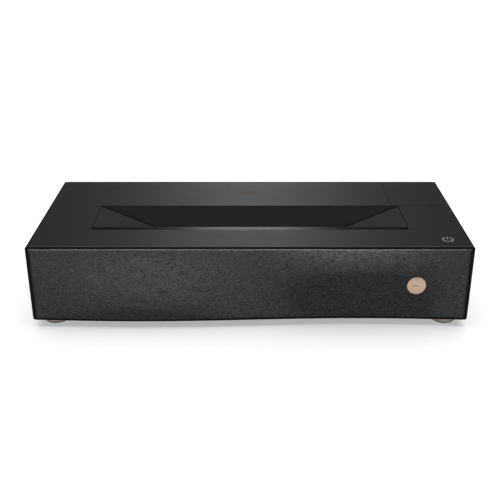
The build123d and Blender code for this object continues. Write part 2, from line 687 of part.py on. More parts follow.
with BuildPart() as mirror_bracket:
    block(-BRACKET_X, BRACKET_X, BRACKET_FRONT, BRACKET_REAR, FLOOR_Z, FLOOR_Z + BRACKET_WALL)
    block(-BRACKET_X, BRACKET_X, BRACKET_FRONT, BRACKET_FRONT + BRACKET_WALL, FLOOR_Z, 100)
    for side_x in (-BRACKET_X, BRACKET_X - BRACKET_WALL):
        block(side_x, side_x + BRACKET_WALL, BRACKET_FRONT, BRACKET_REAR, FLOOR_Z, 76)
    # three studs that hold the back of the mirror
    with BuildSketch(mirror_plane.offset(-MIRROR_BLANK / 2)):
        with Locations((-STUD_X, -STUD_Y), (STUD_X, -STUD_Y)):
            Circle(5)
    extrude(amount=-12)
    with BuildSketch(mirror_plane.offset(-MIRROR_BLANK / 2)):
        with Locations((0, STUD_Y)):
            Circle(5)
    extrude(amount=-22)
save(mirror_bracket, "mirror_bracket")

barrel_plane = facing_back(BARREL_FRONT, AXIS_Z)
FOCUS_START = 36.0
FOCUS_W = 12.0
BARREL_R = 31.0
FOCUS_CENTRES = 42.1            # focus ring axis to pinion axis
PINION_HOLE_R = 4.0
EAR_T = 4.0
EAR_START = 26.0
BARREL_STEPS = ((0, EAR_START, 34.0), (EAR_START, 74, BARREL_R), (74, 94, 25.0), (94, 98, 33.0))
BORE_STEPS = ((0, 20, 31.0), (20, 70, 28.0), (70, 98, 20.0))

with BuildPart() as lens_barrel:
    for start, end, radius in BARREL_STEPS:
        with BuildSketch(barrel_plane.offset(start)):
            Circle(radius)
        extrude(amount=end - start)
    # ear that the focus pinion's shaft passes through
    with BuildSketch(barrel_plane.offset(EAR_START)):
        with Locations((FOCUS_CENTRES, 0)):
            Circle(9)
            Circle(PINION_HOLE_R, mode=Mode.SUBTRACT)
    extrude(amount=-EAR_T)
    for start, end, radius in BORE_STEPS:
        with BuildSketch(barrel_plane.offset(start)):
            Circle(radius)
        extrude(amount=end - start, mode=Mode.SUBTRACT)
save(lens_barrel, "lens_barrel")


def lens(start, radius, thickness, curve):
    """Double convex lens disc on the barrel axis."""
    with BuildPart(barrel_plane.offset(start)) as disc:
        Cylinder(radius, thickness)
        for end in (-1, 1):
            with Locations((0, 0, end * (curve - thickness / 2))):
                Sphere(curve, mode=Mode.INTERSECT)
    return disc.part


# place along the barrel, radius, thickness and radius of curvature
LENSES = ((10, 31.0, 12, 90), (30, 28.0, 10, 110), (48, 28.0, 9, 120), (64, 28.0, 9, 100),
          (82, 20.0, 8, 70))
lens_discs = [lens(*sizes) for sizes in LENSES]

with BuildPart() as lens_elements:
    add(lens_discs)
save(lens_elements, "lens_elements")


def tooth(teeth, module, addendum, dedendum, backlash):
    """Points of one involute tooth that points along local x."""
    pitch_r = teeth * module / 2
    base_r = pitch_r * math.cos(math.radians(20))

    def involute(angle):
        return math.tan(angle) - angle

    def half_angle(radius):
        thickness = (math.pi * module / 2 - backlash) / (2 * pitch_r)
        turn = math.acos(min(base_r / radius, 1))
        return thickness + involute(math.radians(20)) - involute(turn)

    root_r = pitch_r - dedendum
    tip_r = pitch_r + addendum
    start_r = max(base_r, root_r)
    flank = [(root_r - 0.3, half_angle(start_r))]
    flank += [(start_r + (tip_r - start_r) * i / 4, half_angle(start_r + (tip_r - start_r) * i / 4))
              for i in range(5)]
    upper = [(r * math.cos(a), r * math.sin(a)) for r, a in flank]
    return upper + [(x, -y) for x, y in reversed(upper)]


RING_TEETH = 72
PINION_TEETH = 12
MODULE = 1.0
RING_ROOT = RING_TEETH * MODULE / 2 - 1.3
PINION_ROOT = PINION_TEETH * MODULE / 2 - 1.1
focus_plane = barrel_plane.offset(FOCUS_START)

with BuildPart() as focus_ring:
    with BuildSketch(focus_plane):
        Circle(RING_ROOT)
        with PolarLocations(0, 13, start_angle=-30, angular_range=60, endpoint=True):
            Polygon(*tooth(RING_TEETH, MODULE, 0.6, 1.3, 0.15), align=None)
        Circle(BARREL_R + RUN_FIT, mode=Mode.SUBTRACT)
    extrude(amount=FOCUS_W)
save(focus_ring, "focus_ring")

pinion_plane = facing_back(BARREL_FRONT + FOCUS_START, AXIS_Z, FOCUS_CENTRES)

with BuildPart() as focus_pinion:
    with BuildSketch(pinion_plane):
        Circle(PINION_ROOT)
        with PolarLocations(0, PINION_TEETH, start_angle=15):
            Polygon(*tooth(PINION_TEETH, MODULE, 0.9, 1.1, 0.15), align=None)
    extrude(amount=FOCUS_W)
    with BuildSketch(pinion_plane):
        Circle(SHAFT_R)
    extrude(amount=-21)
save(focus_pinion, "focus_pinion")

with BuildPart() as focus_motor:
    with BuildSketch(pinion_plane.offset(-14)):
        Circle(7.5)
    extrude(amount=-21)
    with BuildSketch(pinion_plane.offset(-14)):
        Circle(SHAFT_R + RUN_FIT)
    extrude(amount=-8, mode=Mode.SUBTRACT)
save(focus_motor, "focus_motor")

ENGINE_X = 55.0
ENGINE_REAR = 246.0
ENGINE_TOP = 86.0
ENGINE_WALL = 4.0
ENGINE_BORE_R = 20.0
BEAM_Z = 67.0
WHEEL_T = 215.0

with BuildPart() as optical_engine:
    block(-ENGINE_X, ENGINE_X, ENGINE_FRONT, ENGINE_REAR, FLOOR_Z, ENGINE_TOP)
    block(-ENGINE_X + ENGINE_WALL, ENGINE_X - ENGINE_WALL, ENGINE_FRONT + ENGINE_WALL,
          ENGINE_REAR - ENGINE_WALL, FLOOR_Z + ENGINE_WALL, ENGINE_TOP - ENGINE_WALL,
          mode=Mode.SUBTRACT)
    with BuildSketch(facing_back(ENGINE_FRONT, AXIS_Z)):
        Circle(ENGINE_BORE_R)
    extrude(amount=5, mode=Mode.SUBTRACT)
    with BuildSketch(facing_side(ENGINE_X, WHEEL_T, BEAM_Z)):
        Circle(5)
    extrude(amount=-5, mode=Mode.SUBTRACT)
    block(-12, 12, ENGINE_REAR - 5, ENGINE_REAR + 1, AXIS_Z - 8, AXIS_Z + 8, mode=Mode.SUBTRACT)
save(optical_engine, "optical_engine")

CHIP_SINK_X = 28.0
CHIP_SINK_LOW = 26.0
CHIP_SINK_HIGH = 76.0
CHIP_SINK_BASE = ENGINE_REAR + BOARD_T + 3
CHIP_FINS = 11
CHIP_FIN_PITCH = 5.5

with BuildPart() as chip_board:
    block(-45, 45, ENGINE_REAR, ENGINE_REAR + BOARD_T, 20, 82)
save(chip_board, "chip_board")

with BuildPart() as chip_heatsink:
    block(-CHIP_SINK_X, CHIP_SINK_X, ENGINE_REAR + BOARD_T, CHIP_SINK_BASE,
          CHIP_SINK_LOW, CHIP_SINK_HIGH)
    for i in range(CHIP_FINS):
        fin_x = -CHIP_SINK_X + i * CHIP_FIN_PITCH
        block(fin_x, fin_x + 1, CHIP_SINK_BASE, 261, CHIP_SINK_LOW, CHIP_SINK_HIGH)
save(chip_heatsink, "chip_heatsink")

LASER_X = 86.0
LASER_FRONT = 190.0
LASER_REAR = 245.0
LASER_TOP = 78.0
LASER_REAR_X = 140.0
SPREADER_X = 150.0
PIPE_R = 3.0
PIPE_TS = (204.0, 218.0, 232.0)

with BuildPart() as laser_module:
    block(LASER_X, LASER_REAR_X, LASER_FRONT, LASER_REAR, FLOOR_Z, LASER_TOP)
    fillet(laser_module.edges().filter_by(Axis.Z), 2.0)
    with BuildSketch(facing_side(LASER_X, WHEEL_T, BEAM_Z)):
        Circle(6)
    extrude(amount=-14)
    # spreader plate that the heat pipes run into
    block(LASER_REAR_X, SPREADER_X, LASER_FRONT + 3, LASER_REAR - 3, FLOOR_Z + 6, LASER_TOP - 4)
    for pipe_t in PIPE_TS:
        with BuildSketch(facing_side(SPREADER_X, pipe_t, AXIS_Z)):
            Circle(PIPE_R + RUN_FIT)
        extrude(amount=-8, mode=Mode.SUBTRACT)
save(laser_module, "laser_module")

WHEEL_X = 65.0
WHEEL_R = 25.0
WHEEL_GLASS = 1.2
WHEEL_HUB_R = 8.0
wheel_plane = facing_side(WHEEL_X, WHEEL_T, AXIS_Z)

with BuildPart() as diffuser_wheel:
    with BuildSketch(wheel_plane):
        Circle(WHEEL_R)
    extrude(amount=WHEEL_GLASS)
    with BuildSketch(wheel_plane.offset(-2)):
        Circle(WHEEL_HUB_R)
    extrude(amount=4.4)
    with BuildSketch(wheel_plane.offset(2.4)):
        Circle(SHAFT_R)
    extrude(amount=9)
save(diffuser_wheel, "diffuser_wheel")

with BuildPart() as wheel_motor:
    with BuildSketch(wheel_plane.offset(2.8)):
        Circle(10)
    extrude(amount=12)
    block(69.8, 77, WHEEL_T - 8, WHEEL_T + 8, FLOOR_Z, AXIS_Z - 6)
    with BuildSketch(wheel_plane.offset(2.8)):
        Circle(SHAFT_R + RUN_FIT)
    extrude(amount=9.5, mode=Mode.SUBTRACT)
save(wheel_motor, "wheel_motor")

# ---------------------------------------------------------------- cooling

PIPE_XS = (211.0, 225.0, 239.0)
FIN_FRONT = 84.0
FIN_COUNT = 18
FIN_PITCH = 4.0
SINK_X0 = 200.0
SINK_X1 = 252.0

with BuildPart() as heat_pipes:
    for start_t, x in zip(PIPE_TS, PIPE_XS):
        with BuildLine(Plane.XY.offset(AXIS_Z)):
            route = FilletPolyline((SPREADER_X - 7, back(start_t)), (x, back(start_t)),
                                   (x, back(FIN_FRONT - 2)), radius=28)
        with BuildSketch(Plane(origin=route @ 0, z_dir=route % 0)):
            Circle(PIPE_R)
        sweep(path=route)
save(heat_pipes, "heat_pipes")

with BuildPart() as heat_sink:
    block(SINK_X0, SINK_X1, FIN_FRONT, FIN_FRONT + FIN_PITCH * (FIN_COUNT - 1) + 1, FLOOR_Z, 20)
    for i in range(FIN_COUNT):
        block(SINK_X0, SINK_X1, FIN_FRONT + i * FIN_PITCH, FIN_FRONT + i * FIN_PITCH + 1, 19, 94)
    for x in PIPE_XS:
        with BuildSketch(facing_back(FIN_FRONT - 3, AXIS_Z, x)):
            Circle(PIPE_R + 0.02)
        extrude(amount=90, mode=Mode.SUBTRACT)
save(heat_sink, "heat_sink")

fan_planes = {
    "right": facing_side(FAN_X, FAN_FRONT, FAN_Z),
    "left_front": facing_side(-FAN_X, FAN_FRONT, FAN_Z, outward=-1),
    "left_rear": facing_side(-FAN_X, FAN_REAR, FAN_Z, outward=-1),
}
FAN_BORE = 38.0
HUB_R = 15.0
BLADES = 9
BLADE_CHORD = 18.0
BLADE_TWIST = 42.0
MOUNT_HOLES = 71.5
STRUT_T = 4.0


def fan_frame(plane):
    """Square fan frame with a motor seat on four struts on its outer side."""
    with BuildPart() as frame:
        with BuildSketch(plane.offset(-FAN_T / 2)):
            RectangleRounded(FAN_SIZE, FAN_SIZE, 5)
            Circle(FAN_BORE, mode=Mode.SUBTRACT)
            with GridLocations(MOUNT_HOLES, MOUNT_HOLES, 2, 2):
                Circle(2.1, mode=Mode.SUBTRACT)
        extrude(amount=FAN_T)
        with BuildSketch(plane.offset(FAN_T / 2 - STRUT_T)):
            Circle(HUB_R + 1)
            with PolarLocations((HUB_R + FAN_BORE) / 2 + 0.5, 4):
                Rectangle(FAN_BORE - HUB_R + 2, STRUT_T)
        extrude(amount=STRUT_T)
        with BuildSketch(plane.offset(FAN_T / 2 - 12)):
            Circle(4)
        extrude(amount=10)
        with BuildSketch(plane.offset(FAN_T / 2 - 12)):
            Circle(SHAFT_R + RUN_FIT)
        extrude(amount=11, mode=Mode.SUBTRACT)
    return frame.part


frame_solids = [fan_frame(plane) for plane in fan_planes.values()]

with BuildPart() as fan_frames:
    add(frame_solids)
save(fan_frames, "fan_frames")

for fan_name, plane in fan_planes.items():
    with BuildPart() as fan_rotor:
        with BuildSketch(plane.offset(-FAN_T / 2 + 2)):
            Circle(HUB_R)
        extrude(amount=FAN_T - 8)
        with BuildSketch(plane.offset(-FAN_T / 2 + 4)):
            Circle(HUB_R - 1.5)
        extrude(amount=FAN_T, mode=Mode.SUBTRACT)
        with BuildSketch(plane.offset(-FAN_T / 2 + 3)):
            Circle(SHAFT_R)
        extrude(amount=FAN_T - 7)
        with Locations(plane.offset(-2)):
            with PolarLocations((HUB_R + FAN_BORE) / 2 - 0.9, BLADES):
                Box(FAN_BORE - HUB_R, 1.4, BLADE_CHORD, rotation=(BLADE_TWIST, 0, 0))
    save(fan_rotor, f"fan_rotor_{fan_name}")

# ---------------------------------------------------------------- loudspeakers

BOX_FRONT = 13.0
BOX_REAR = 66.0
BOX_INNER = 104.0
BOX_OUTER = 270.0
BOX_LOW = FLOOR_Z + 11
BOX_HIGH = 113.0
BOX_WALL = 3.0
BOX_LEGS = ((150, 30), (225, 40))   # x and front of each leg under a box
LEG_W = 16.0
CONE_R = 28.0


def speaker_revolve(profile, x):
    """Turn a profile of (radius, distance) points round a loudspeaker's axis."""
    with BuildPart() as turned:
        with BuildSketch(Plane(origin=(x, FRONT_Y, SPEAKER_Z), x_dir=(1, 0, 0), z_dir=(0, 0, 1))):
            with BuildLine():
                Polyline(*profile, close=True)
            make_face()
        revolve(axis=Axis((x, 0, SPEAKER_Z), (0, 1, 0)))
    return turned


with BuildPart() as speaker_boxes:
    for side in (-1, 1):
        low_x, high_x = sorted((side * BOX_INNER, side * BOX_OUTER))
        block(low_x, high_x, BOX_FRONT, BOX_REAR, BOX_LOW, BOX_HIGH)
        block(low_x + BOX_WALL, high_x - BOX_WALL, BOX_FRONT + BOX_WALL, BOX_REAR - BOX_WALL,
              BOX_LOW + BOX_WALL, BOX_HIGH - BOX_WALL, mode=Mode.SUBTRACT)
        with BuildSketch(facing_back(BOX_FRONT - 1, SPEAKER_Z, side * SPEAKER_X)):
            Circle(31)
        extrude(amount=6, mode=Mode.SUBTRACT)
        for leg_x, leg_t in BOX_LEGS:
            block(side * leg_x - LEG_W / 2, side * leg_x + LEG_W / 2, leg_t, leg_t + LEG_W,
                  FLOOR_Z, BOX_LOW)
save(speaker_boxes, "speaker_boxes")

basket_profile = [(36, 11.5), (36, 13), (30.8, 13), (30.8, 22), (24, 31), (24, 46), (0, 46), (0, 31),
                  (9.5, 31), (9.5, 42), (11.2, 42), (11.2, 31), (22, 31), (29.2, 21), (29.2, 11.5)]
cone_profile = [(CONE_R, 13.6), (CONE_R, 14.6), (10.8, 27), (10.8, 36), (10.1, 36), (10.1, 26.5),
                (0, 23.5), (0, 22.7), (10.1, 25.6)]

basket_solids = [speaker_revolve(basket_profile, side * SPEAKER_X).part for side in (-1, 1)]

with BuildPart() as speaker_baskets:
    add(basket_solids)
save(speaker_baskets, "speaker_baskets")

for side_name, side in (("left", -1), ("right", 1)):
    speaker_cone = speaker_revolve(cone_profile, side * SPEAKER_X)
    save(speaker_cone, f"speaker_cone_{side_name}")

# ---------------------------------------------------------------- electronics

POWER_TOP = POWER_BOARD_Z + BOARD_T
CAPACITORS = ((-200, 192), (-200, 222), (-228, 196))
CAPACITOR_R = 11.0
CAPACITOR_H = 38.0
CHOKE_R = 12.0
CHOKE_H = 11.0

with BuildPart() as power_board:
    block(-255, -100, 172, 256, POWER_BOARD_Z, POWER_TOP)
save(power_board, "power_board")

with BuildPart() as power_parts:
    # transformer and the heat spreader of the switching transistors
    block(-170, -132, 186, 220, POWER_TOP, 56)
    block(-122, -118, 180, 250, POWER_TOP, 60)
    with BuildSketch(Plane.XY.offset(POWER_TOP)):
        with Locations(*[(x, back(t)) for x, t in CAPACITORS]):
            Circle(CAPACITOR_R)
    extrude(amount=CAPACITOR_H)
    with BuildSketch(Plane.XY.offset(POWER_TOP)):
        with Locations((-160, back(240))):
            Circle(CHOKE_R)
            Circle(5, mode=Mode.SUBTRACT)
    extrude(amount=CHOKE_H)
save(power_parts, "power_parts")

with BuildPart() as main_board:
    block(64, 207, 170, 259, MAIN_BOARD_Z, MAIN_BOARD_Z + BOARD_T)
save(main_board, "main_board")

# x, distance from the front, width and height of each chip and choke on the main board
CHIPS = ((110, 205, 30, 3), (150, 200, 18, 2), (150, 224, 14, 1.6), (92, 228, 12, 1.6),
         (186, 200, 16, 8), (186, 228, 10, 6))

with BuildPart() as main_chips:
    for x, t, size, height in CHIPS:
        block(x - size / 2, x + size / 2, t - size / 2, t + size / 2,
              MAIN_BOARD_Z + BOARD_T, MAIN_BOARD_Z + BOARD_T + height)
save(main_chips, "main_chips")

with BuildPart() as io_sockets:
    low = MAIN_BOARD_Z + BOARD_T
    for x, width, height in SOCKETS:
        block(x - width / 2, x + width / 2, DEPTH - 13, DEPTH - 0.6, low, low + height)
        if height < 6:
            block(x - width / 2 + 0.6, x + width / 2 - 0.6, DEPTH - 10, DEPTH, low + 0.6,
                  low + height - 0.6, mode=Mode.SUBTRACT)
            block(x - width / 2 + 2, x + width / 2 - 2, DEPTH - 11, DEPTH - 2, low + 2,
                  low + height - 2)
        else:
            with BuildSketch(facing_back(DEPTH, low + height / 2, x)):
                Circle(1.8)
            extrude(amount=-10, mode=Mode.SUBTRACT)
save(io_sockets, "io_sockets")

PIN_SIZE = (2.0, 4.0)

with BuildPart() as ac_inlet:
    block(INLET_X - INLET_W / 2, INLET_X + INLET_W / 2, DEPTH - 24, DEPTH - 0.4,
          INLET_Z - INLET_H / 2, INLET_Z + INLET_H / 2)
    block(INLET_X - 12, INLET_X + 12, DEPTH - 17, DEPTH, INLET_Z - 8, INLET_Z + 8,
          mode=Mode.SUBTRACT)
    for x, z in ((-7, -1.5), (7, -1.5), (0, 2.5)):
        block(INLET_X + x - PIN_SIZE[0] / 2, INLET_X + x + PIN_SIZE[0] / 2, DEPTH - 18, DEPTH - 3,
              INLET_Z + z - PIN_SIZE[1] / 2, INLET_Z + z + PIN_SIZE[1] / 2)
save(ac_inlet, "ac_inlet")
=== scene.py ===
"""Home projector: materials, cloth front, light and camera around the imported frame. Metres."""

import bmesh
import bpy
import json
import math
from mathutils import Matrix, Vector


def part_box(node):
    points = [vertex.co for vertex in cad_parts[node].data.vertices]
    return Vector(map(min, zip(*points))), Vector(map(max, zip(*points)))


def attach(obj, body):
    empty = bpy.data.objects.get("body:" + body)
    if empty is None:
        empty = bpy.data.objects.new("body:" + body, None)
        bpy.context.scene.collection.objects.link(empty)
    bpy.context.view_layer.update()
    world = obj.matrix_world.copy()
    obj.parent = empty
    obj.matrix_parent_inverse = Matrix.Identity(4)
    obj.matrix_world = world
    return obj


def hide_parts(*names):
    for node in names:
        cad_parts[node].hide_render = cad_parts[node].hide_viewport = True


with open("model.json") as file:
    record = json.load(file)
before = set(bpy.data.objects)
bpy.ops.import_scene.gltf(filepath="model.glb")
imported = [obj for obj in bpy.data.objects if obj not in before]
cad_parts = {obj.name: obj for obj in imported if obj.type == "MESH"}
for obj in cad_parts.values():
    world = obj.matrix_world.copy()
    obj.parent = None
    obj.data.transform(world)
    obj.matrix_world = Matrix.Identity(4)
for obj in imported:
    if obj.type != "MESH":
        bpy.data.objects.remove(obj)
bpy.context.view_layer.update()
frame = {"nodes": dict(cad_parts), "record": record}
nodes = frame["nodes"]

MM = 0.001

# ------------------------------------------------------------------ sizes read from the frame

panel_low, panel_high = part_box("side_panel_right")
fabric_low, fabric_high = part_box("grille_fabric")
badge_low, badge_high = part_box("grille_badge")
FRONT = panel_low.y                   # plane of the side panels' front edges
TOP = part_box("top_cover")[1].z
WIDTH = 2 * panel_high.x
FABRIC_HALF = fabric_high.x
FABRIC_BOTTOM = fabric_low.z
EDGE_DROP = 1.1 * MM                  # the cloth's folded edge lies this far below the frame's
FABRIC_TOP = fabric_high.z - EDGE_DROP

# ------------------------------------------------------------------ cloth sizes

FABRIC_SET_BACK = 0.3 * MM            # behind the side panels' front edges
WAVE = 4.6 * MM                       # how far the lower edge swings out on the left, in on the right
LEFT_SWELL = 2.6 * MM                 # extra fullness low on the left
RIGHT_SWELL = 4.9 * MM                # and high on the right
CLOTH_T = 0.7 * MM
FOLD = 0.3 * MM                       # how far the cloth turns in at its top and bottom edges
FOLD_REACH = 1.6                      # height of that turn, in folds
COLUMNS, ROWS = 240, 60
BADGE_GAP = 0.2 * MM
CUTTER_DEPTH = 60 * MM
THREAD = 0.8 * MM                     # spacing of the weave
YARN = 1.1 * MM                       # size of the lighter and darker patches of yarn


# ------------------------------------------------------------------ node helpers

def new_material(name):
    mat = bpy.data.materials.new(name)
    mat.use_nodes = True
    tree = mat.node_tree
    return mat, tree, tree.nodes["Principled BSDF"]


def node(tree, kind, **values):
    """Adds a node; a value whose name is a socket sets the socket, any other sets a property."""
    made = tree.nodes.new(kind)
    for key, value in values.items():
        if hasattr(made, key):
            setattr(made, key, value)
        else:
            made.inputs[key.replace("_", " ")].default_value = value
    return made


def place(tree, scale=(1, 1, 1)):
    """Object coordinates, stretched."""
    coords = tree.nodes.new("ShaderNodeTexCoord")
    mapping = tree.nodes.new("ShaderNodeMapping")
    mapping.inputs["Scale"].default_value = scale
    tree.links.new(coords.outputs["Object"], mapping.inputs["Vector"])
    return mapping.outputs["Vector"]


def noise(tree, vector, size, detail=3.0):
    """Noise whose grains are about this many metres across."""
    made = node(tree, "ShaderNodeTexNoise", Scale=1.0 / size, Detail=detail)
    tree.links.new(vector, made.inputs["Vector"])
    return made.outputs["Fac"]


def ramp(tree, fac, stops):
    made = tree.nodes.new("ShaderNodeValToRGB")
    elements = made.color_ramp.elements
    for element, (place_at, colour) in zip(elements, stops):
        element.position = place_at
        element.color = (*colour, 1)
    tree.links.new(fac, made.inputs["Fac"])
    return made.outputs["Color"]


def remap(tree, fac, source, result):
    """Maps the source range onto the result range."""
    made = node(tree, "ShaderNodeMapRange", From_Min=source[0], From_Max=source[1],
                To_Min=result[0], To_Max=result[1])
    tree.links.new(fac, made.inputs["Value"])
    return made.outputs["Result"]


def calc(tree, operation, first, second=None):
    """One sum; the second term is a number, another node's output, or left out."""
    made = node(tree, "ShaderNodeMath", operation=operation)
    tree.links.new(first, made.inputs[0])
    if isinstance(second, float):
        made.inputs[1].default_value = second
    elif second is not None:
        tree.links.new(second, made.inputs[1])
    return made.outputs[0]


def bump(tree, height, depth, shader, strength=1.0, under=None):
    made = node(tree, "ShaderNodeBump", Strength=strength, Distance=depth)
    tree.links.new(height, made.inputs["Height"])
    if under is not None:
        tree.links.new(under, made.inputs["Normal"])
    tree.links.new(made.outputs["Normal"], shader.inputs["Normal"])
    return made.outputs["Normal"]


def tint(colour, factor):
    return tuple(min(1.0, c * factor) for c in colour)


# ------------------------------------------------------------------ materials

USUAL = (0.3, 0.7)                    # where most of a noise's values lie


def plastic(name, colour, rough, grain=0.35, depth=0.012, mottle=0.08, specular=0.5,
            stretch=(1, 1, 1)):
    """Moulded or painted plastic: fine grain in mm, slight mottling and uneven gloss."""
    mat, tree, shader = new_material(name)
    shader.inputs["Specular IOR Level"].default_value = specular
    broad = noise(tree, place(tree), 40 * MM, 2.0)
    shades = (tint(colour, 1 - mottle), tint(colour, 1 + mottle))
    tree.links.new(ramp(tree, broad, zip(USUAL, shades)), shader.inputs["Base Color"])
    fine = noise(tree, place(tree, stretch), grain * MM, 2.0)
    tree.links.new(remap(tree, fine, USUAL, (rough * 0.93, rough * 1.07)), shader.inputs["Roughness"])
    bump(tree, fine, depth * MM, shader)
    return mat


def metal(name, colour, rough, along="X", depth=0.004, dark=0.85):
    """Brushed or turned metal with fine lines along one axis."""
    mat, tree, shader = new_material(name)
    shader.inputs["Metallic"].default_value = 1.0
    stretch = {"X": (0.03, 1, 1), "Y": (1, 0.03, 1), "Z": (1, 1, 0.03)}[along]
    lines = noise(tree, place(tree, stretch), 0.25 * MM, 3.0)
    tree.links.new(ramp(tree, lines, zip(USUAL, (tint(colour, dark), colour))),
                   shader.inputs["Base Color"])
    tree.links.new(remap(tree, lines, USUAL, (rough * 0.85, rough * 1.15)), shader.inputs["Roughness"])
    bump(tree, lines, depth * MM, shader)
    return mat


def clear_glass(name, colour, rough):
    mat, tree, shader = new_material(name)
    shader.inputs["Transmission Weight"].default_value = 1.0
    shader.inputs["IOR"].default_value = 1.5
    smears = noise(tree, place(tree), 30 * MM, 2.0)
    tree.links.new(ramp(tree, smears, zip(USUAL, (tint(colour, 0.94), colour))),
                   shader.inputs["Base Color"])
    tree.links.new(remap(tree, smears, USUAL, (rough, rough + 0.03)), shader.inputs["Roughness"])
    return mat


def circuit_board(name):
    """Solder mask with a faint pattern of copper runs under it."""
    copper_run = (0.035, 0.16, 0.075)
    mask = (0.008, 0.075, 0.035)
    mat, tree, shader = new_material(name)
    shader.inputs["Roughness"].default_value = 0.35
    cells = node(tree, "ShaderNodeTexVoronoi", distance="MANHATTAN", feature="DISTANCE_TO_EDGE",
                 Scale=260.0)
    tree.links.new(place(tree), cells.inputs["Vector"])
    tree.links.new(ramp(tree, cells.outputs["Distance"], [(0.05, copper_run), (0.12, mask)]),
                   shader.inputs["Base Color"])
    bump(tree, cells.outputs["Distance"], 0.05 * MM, shader, 0.4)
    return mat


def threads(tree, position, pitch):
    """Rounded ridges along one direction: |sin| of the position, 0 to 1."""
    turned = calc(tree, "MULTIPLY", position, math.pi / pitch)
    return calc(tree, "ABSOLUTE", calc(tree, "SINE", turned))


def woven_cloth(name, colour):
    """Plain weave: warp and weft ridges, with single threads lighter or darker than the next."""
    mat, tree, shader = new_material(name)
    shader.inputs["Roughness"].default_value = 0.85
    shader.inputs["Specular IOR Level"].default_value = 0.2
    shader.inputs["Sheen Weight"].default_value = 0.06
    shader.inputs["Sheen Roughness"].default_value = 0.5
    coords = tree.nodes.new("ShaderNodeTexCoord")
    axes = tree.nodes.new("ShaderNodeSeparateXYZ")
    tree.links.new(coords.outputs["Object"], axes.inputs["Vector"])
    cross = calc(tree, "MULTIPLY", threads(tree, axes.outputs["X"], THREAD),
                 threads(tree, axes.outputs["Z"], THREAD))
    along_x = noise(tree, place(tree, (0.2, 1, 1)), YARN, 2.0)
    along_z = noise(tree, place(tree, (1, 1, 0.4)), YARN, 2.0)
    specks = noise(tree, place(tree), YARN, 2.0)
    yarn = calc(tree, "DIVIDE", calc(tree, "ADD", calc(tree, "ADD", along_x, along_z), specks), 3.0)
    shade = ramp(tree, yarn, [(0.41, tint(colour, 0.05)), (0.59, tint(colour, 2.3))])
    # painted shade: the gaps between threads are darker
    gap_shade = node(tree, "ShaderNodeMix", data_type="RGBA", blend_type="MULTIPLY")
    gap_shade.inputs["Factor"].default_value = 1.0
    tree.links.new(shade, gap_shade.inputs["A"])
    tree.links.new(remap(tree, cross, (0.0, 0.6), (0.55, 1.0)), gap_shade.inputs["B"])
    tree.links.new(gap_shade.outputs["Result"], shader.inputs["Base Color"])
    coarse = bump(tree, yarn, 0.5 * MM, shader, 0.42)
    bump(tree, cross, 0.25 * MM, shader, 0.8, under=coarse)
    return mat


cloth_finish = woven_cloth("woven_front", (0.0196, 0.0196, 0.0201))

# record slot: finish
finishes = {
    "cover_black": plastic("satin_cover", (0.0149, 0.0157, 0.0174), 0.47, grain=1.0, depth=0.006,
                           mottle=0.05, stretch=(0.03, 1, 1)),
    "case_black": plastic("black_case", (0.0028, 0.0029, 0.0031), 0.55, grain=0.5, depth=0.02,
                          specular=0.09),
    "recess_black": plastic("matte_recess", (0.0225, 0.0235, 0.0252), 0.62, grain=0.4, depth=0.015,
                            specular=0.3),
    "gloss_black": plastic("gloss_window_strip", (0.002, 0.002, 0.0024), 0.25, grain=3.0,
                           depth=0.002, specular=0.22),
    "black_rubber": plastic("black_rubber", (0.012, 0.012, 0.012), 0.75, grain=0.6, depth=0.04),
    "part_black": plastic("moulded_black", (0.018, 0.018, 0.019), 0.45, grain=0.8, depth=0.03),
    "cone_paper": plastic("pressed_paper", (0.05, 0.05, 0.05), 0.85, grain=1.2, depth=0.08,
                          mottle=0.2),
    "silver_print": plastic("silver_print", (0.60, 0.61, 0.63), 0.4, grain=0.2, depth=0.003),
    "rose_gold": metal("rose_gold", (0.53, 0.38, 0.28), 0.34, depth=0.003),
    "zinc_steel": metal("zinc_steel", (0.55, 0.55, 0.56), 0.35),
    "cast_alloy": metal("cast_alloy", (0.56, 0.57, 0.59), 0.5, depth=0.01),
    "black_alloy": metal("black_alloy", (0.05, 0.05, 0.055), 0.45),
    "copper": metal("copper_pipe", (0.80, 0.42, 0.27), 0.25, along="Y"),
    "brass": metal("brass_part", (0.75, 0.56, 0.25), 0.3, along="Z"),
    "mirror_coat": metal("mirror_coat", (0.93, 0.94, 0.95), 0.03, depth=0.0),
    "clear_glass": clear_glass("window_glass", (0.86, 0.91, 0.93), 0.02),
    "diffuser": clear_glass("ground_glass", (0.92, 0.93, 0.95), 0.35),
    "board_green": circuit_board("solder_mask"),
    "fabric_grey": cloth_finish,
}
# nodes whose finish is duller than their slot's; the feet's darker rose gold is painted shade, for the
# shade under the case
shaded_foot_finish = metal("foot_metal_painted_shade", (0.40, 0.33, 0.28), 0.42)
special = {name: shaded_foot_finish for name in nodes if name.startswith("foot_dial")}
special["rear_mark"] = plastic("dull_rose_gold", (0.26, 0.185, 0.145), 0.45, grain=0.3, depth=0.004)

for entry in frame["record"]["subparts"]:
    mesh = nodes[entry["node"]].data
    mesh.materials.clear()
    mesh.materials.append(special.get(entry["node"], finishes[entry["material_slot"]]))


# ------------------------------------------------------------------ cloth front

def smooth(a, b, value):
    t = max(0.0, min(1.0, (value - a) / (b - a)))
    return t * t * (3 - 2 * t)


def wave(u, w):
    """How far the cloth stands out at u (-1 left to 1 right) and w (0 top to 1 bottom)."""
    swing = -math.sin(math.pi * u)
    lower_edge = WAVE * swing * w * w * (3 - 2 * w)
    # each swell is scaled to reach its full height at two thirds or one third of the way down
    if swing > 0:
        swell = LEFT_SWELL * w * w * (1 - w)
    else:
        swell = RIGHT_SWELL * w * (1 - w) ** 2
    return lower_edge + 27 / 4 * swell * swing * swing


